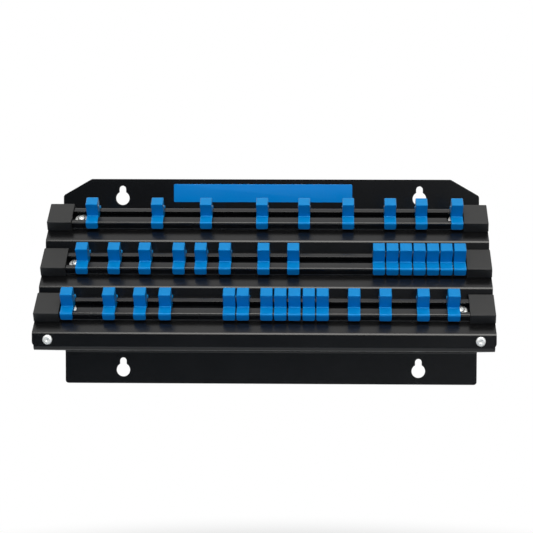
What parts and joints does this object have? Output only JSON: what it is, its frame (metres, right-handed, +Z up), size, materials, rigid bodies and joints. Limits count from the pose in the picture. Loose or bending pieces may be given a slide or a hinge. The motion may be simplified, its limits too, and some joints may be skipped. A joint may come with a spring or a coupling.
{
  "type": "wall-mounted tool holder",
  "caption": "Wall-mounted stepped steel rack whose slotted rails carry sliding square-post clips that hold drive sockets.",
  "frame": {"origin": "middle of the four keyholes, on the wall face", "axes": "+Z up, +X to the right seen from the front, +Y into the wall"},
  "size_m": [0.3566, 0.1327, 0.1758],
  "materials": {
    "powder_coated_steel": "satin black powder coat",
    "black_rail_steel": "semi-gloss black",
    "black_plastic": "moulded satin",
    "blue_plastic": "moulded semi-gloss",
    "zinc_plated_steel": "bright zinc",
    "label_film": "gloss film"
  },
  "bodies": {
    "bracket": {"end_cap_left_1": "black_plastic", "end_cap_left_2": "black_plastic", "end_cap_left_3": "black_plastic", "end_cap_right_1": "black_plastic", "end_cap_right_2": "black_plastic", "end_cap_right_3": "black_plastic", "front_bolts": "zinc_plated_steel", "front_nuts": "zinc_plated_steel", "label": "label_film", "lower_bracket": "powder_coated_steel", "rail_1": "black_rail_steel", "rail_2": "black_rail_steel", "rail_3": "black_rail_steel", "rail_nuts": "zinc_plated_steel", "rail_screws": "zinc_plated_steel", "stepped_panel": "powder_coated_steel"},
    "clip_1_01": {"clip_1_01": "blue_plastic"},
    "clip_1_02": {"clip_1_02": "blue_plastic"},
    "clip_1_03": {"clip_1_03": "blue_plastic"},
    "clip_1_04": {"clip_1_04": "blue_plastic"},
    "clip_1_05": {"clip_1_05": "blue_plastic"},
    "clip_1_06": {"clip_1_06": "blue_plastic"},
    "clip_1_07": {"clip_1_07": "blue_plastic"},
    "clip_1_08": {"clip_1_08": "blue_plastic"},
    "clip_1_09": {"clip_1_09": "blue_plastic"},
    "clip_2_01": {"clip_2_01": "blue_plastic"},
    "clip_2_02": {"clip_2_02": "blue_plastic"},
    "clip_2_03": {"clip_2_03": "blue_plastic"},
    "clip_2_04": {"clip_2_04": "blue_plastic"},
    "clip_2_05": {"clip_2_05": "blue_plastic"},
    "clip_2_06": {"clip_2_06": "blue_plastic"},
    "clip_2_07": {"clip_2_07": "blue_plastic"},
    "clip_2_08": {"clip_2_08": "blue_plastic"},
    "clip_2_09": {"clip_2_09": "blue_plastic"},
    "clip_2_10": {"clip_2_10": "blue_plastic"},
    "clip_2_11": {"clip_2_11": "blue_plastic"},
    "clip_2_12": {"clip_2_12": "blue_plastic"},
    "clip_2_13": {"clip_2_13": "blue_plastic"},
    "clip_2_14": {"clip_2_14": "blue_plastic"},
    "clip_2_15": {"clip_2_15": "blue_plastic"},
    "clip_3_01": {"clip_3_01": "blue_plastic"},
    "clip_3_02": {"clip_3_02": "blue_plastic"},
    "clip_3_03": {"clip_3_03": "blue_plastic"},
    "clip_3_04": {"clip_3_04": "blue_plastic"},
    "clip_3_05": {"clip_3_05": "blue_plastic"},
    "clip_3_06": {"clip_3_06": "blue_plastic"},
    "clip_3_07": {"clip_3_07": "blue_plastic"},
    "clip_3_08": {"clip_3_08": "blue_plastic"},
    "clip_3_09": {"clip_3_09": "blue_plastic"},
    "clip_3_10": {"clip_3_10": "blue_plastic"},
    "clip_3_11": {"clip_3_11": "blue_plastic"},
    "clip_3_12": {"clip_3_12": "blue_plastic"},
    "clip_3_13": {"clip_3_13": "blue_plastic"},
    "clip_3_14": {"clip_3_14": "blue_plastic"},
    "clip_3_15": {"clip_3_15": "blue_plastic"}
  },
  "joints": [
    {"name": "clip_1_01_slide", "type": "slide", "parent": "bracket", "child": "clip_1_01", "axis": [1, 0, 0], "range_m": [-0.0114, 0.04248]},
    {"name": "clip_1_02_slide", "type": "slide", "parent": "bracket", "child": "clip_1_02", "axis": [1, 0, 0], "range_m": [-0.04248, 0.02899]},
    {"name": "clip_1_03_slide", "type": "slide", "parent": "bracket", "child": "clip_1_03", "axis": [1, 0, 0], "range_m": [-0.02899, 0.03488]},
    {"name": "clip_1_04_slide", "type": "slide", "parent": "bracket", "child": "clip_1_04", "axis": [1, 0, 0], "range_m": [-0.03488, 0.02349]},
    {"name": "clip_1_05_slide", "type": "slide", "parent": "bracket", "child": "clip_1_05", "axis": [1, 0, 0], "range_m": [-0.02349, 0.02509]},
    {"name": "clip_1_06_slide", "type": "slide", "parent": "bracket", "child": "clip_1_06", "axis": [1, 0, 0], "range_m": [-0.02509, 0.02339]},
    {"name": "clip_1_07_slide", "type": "slide", "parent": "bracket", "child": "clip_1_07", "axis": [1, 0, 0], "range_m": [-0.02339, 0.01469]},
    {"name": "clip_1_08_slide", "type": "slide", "parent": "bracket", "child": "clip_1_08", "axis": [1, 0, 0], "range_m": [-0.01469, 0.01819]},
    {"name": "clip_1_09_slide", "type": "slide", "parent": "bracket", "child": "clip_1_09", "axis": [1, 0, 0], "range_m": [-0.01819, 0.0003]},
    {"name": "clip_2_01_slide", "type": "slide", "parent": "bracket", "child": "clip_2_01", "axis": [1, 0, 0], "range_m": [-0.00778, 0.01506]},
    {"name": "clip_2_02_slide", "type": "slide", "parent": "bracket", "child": "clip_2_02", "axis": [1, 0, 0], "range_m": [-0.01506, 0.01396]},
    {"name": "clip_2_03_slide", "type": "slide", "parent": "bracket", "child": "clip_2_03", "axis": [1, 0, 0], "range_m": [-0.01396, 0.01646]},
    {"name": "clip_2_04_slide", "type": "slide", "parent": "bracket", "child": "clip_2_04", "axis": [1, 0, 0], "range_m": [-0.01646, 0.00698]},
    {"name": "clip_2_05_slide", "type": "slide", "parent": "bracket", "child": "clip_2_05", "axis": [1, 0, 0], "range_m": [-0.00698, 0.00868]},
    {"name": "clip_2_06_slide", "type": "slide", "parent": "bracket", "child": "clip_2_06", "axis": [1, 0, 0], "range_m": [-0.00868, 0.02005]},
    {"name": "clip_2_07_slide", "type": "slide", "parent": "bracket", "child": "clip_2_07", "axis": [1, 0, 0], "range_m": [-0.02005, 0.01307]},
    {"name": "clip_2_08_slide", "type": "slide", "parent": "bracket", "child": "clip_2_08", "axis": [1, 0, 0], "range_m": [-0.01307, 0.05696]},
    {"name": "clip_2_09_slide", "type": "slide", "parent": "bracket", "child": "clip_2_09", "axis": [1, 0, 0], "range_m": [-0.05696, 0.0002]},
    {"name": "clip_2_10_slide", "type": "slide", "parent": "bracket", "child": "clip_2_10", "axis": [1, 0, 0], "range_m": [-0.000199, 0.000199]},
    {"name": "clip_2_11_slide", "type": "slide", "parent": "bracket", "child": "clip_2_11", "axis": [1, 0, 0], "range_m": [-0.000199, 0.000199]},
    {"name": "clip_2_12_slide", "type": "slide", "parent": "bracket", "child": "clip_2_12", "axis": [1, 0, 0], "range_m": [-0.000199, 0.000199]},
    {"name": "clip_2_13_slide", "type": "slide", "parent": "bracket", "child": "clip_2_13", "axis": [1, 0, 0], "range_m": [-0.000199, 0.000199]},
    {"name": "clip_2_14_slide", "type": "slide", "parent": "bracket", "child": "clip_2_14", "axis": [1, 0, 0], "range_m": [-0.000199, 0.000199]},
    {"name": "clip_2_15_slide", "type": "slide", "parent": "bracket", "child": "clip_2_15", "axis": [1, 0, 0], "range_m": [-0.000199, 0.000299]},
    {"name": "clip_3_01_slide", "type": "slide", "parent": "bracket", "child": "clip_3_01", "axis": [1, 0, 0], "range_m": [-0.0007, 0.0223]},
    {"name": "clip_3_02_slide", "type": "slide", "parent": "bracket", "child": "clip_3_02", "axis": [1, 0, 0], "range_m": [-0.0223, 0.01344]},
    {"name": "clip_3_03_slide", "type": "slide", "parent": "bracket", "child": "clip_3_03", "axis": [1, 0, 0], "range_m": [-0.01344, 0.00906]},
    {"name": "clip_3_04_slide", "type": "slide", "parent": "bracket", "child": "clip_3_04", "axis": [1, 0, 0], "range_m": [-0.00906, 0.03913]},
    {"name": "clip_3_05_slide", "type": "slide", "parent": "bracket", "child": "clip_3_05", "axis": [1, 0, 0], "range_m": [-0.03913, 0.0002]},
    {"name": "clip_3_06_slide", "type": "slide", "parent": "bracket", "child": "clip_3_06", "axis": [1, 0, 0], "range_m": [-0.0002, 0.00777]},
    {"name": "clip_3_07_slide", "type": "slide", "parent": "bracket", "child": "clip_3_07", "axis": [1, 0, 0], "range_m": [-0.00777, 0.0003]},
    {"name": "clip_3_08_slide", "type": "slide", "parent": "bracket", "child": "clip_3_08", "axis": [1, 0, 0], "range_m": [-0.000298, 0.000398]},
    {"name": "clip_3_09_slide", "type": "slide", "parent": "bracket", "child": "clip_3_09", "axis": [1, 0, 0], "range_m": [-0.0004, 0.0007]},
    {"name": "clip_3_10_slide", "type": "slide", "parent": "bracket", "child": "clip_3_10", "axis": [1, 0, 0], "range_m": [-0.000697, 0.000199]},
    {"name": "clip_3_11_slide", "type": "slide", "parent": "bracket", "child": "clip_3_11", "axis": [1, 0, 0], "range_m": [-0.0002, 0.01384]},
    {"name": "clip_3_12_slide", "type": "slide", "parent": "bracket", "child": "clip_3_12", "axis": [1, 0, 0], "range_m": [-0.01384, 0.01364]},
    {"name": "clip_3_13_slide", "type": "slide", "parent": "bracket", "child": "clip_3_13", "axis": [1, 0, 0], "range_m": [-0.01364, 0.01862]},
    {"name": "clip_3_14_slide", "type": "slide", "parent": "bracket", "child": "clip_3_14", "axis": [1, 0, 0], "range_m": [-0.01862, 0.01304]},
    {"name": "clip_3_15_slide", "type": "slide", "parent": "bracket", "child": "clip_3_15", "axis": [1, 0, 0], "range_m": [-0.01304, 0.00717]}
  ]
}
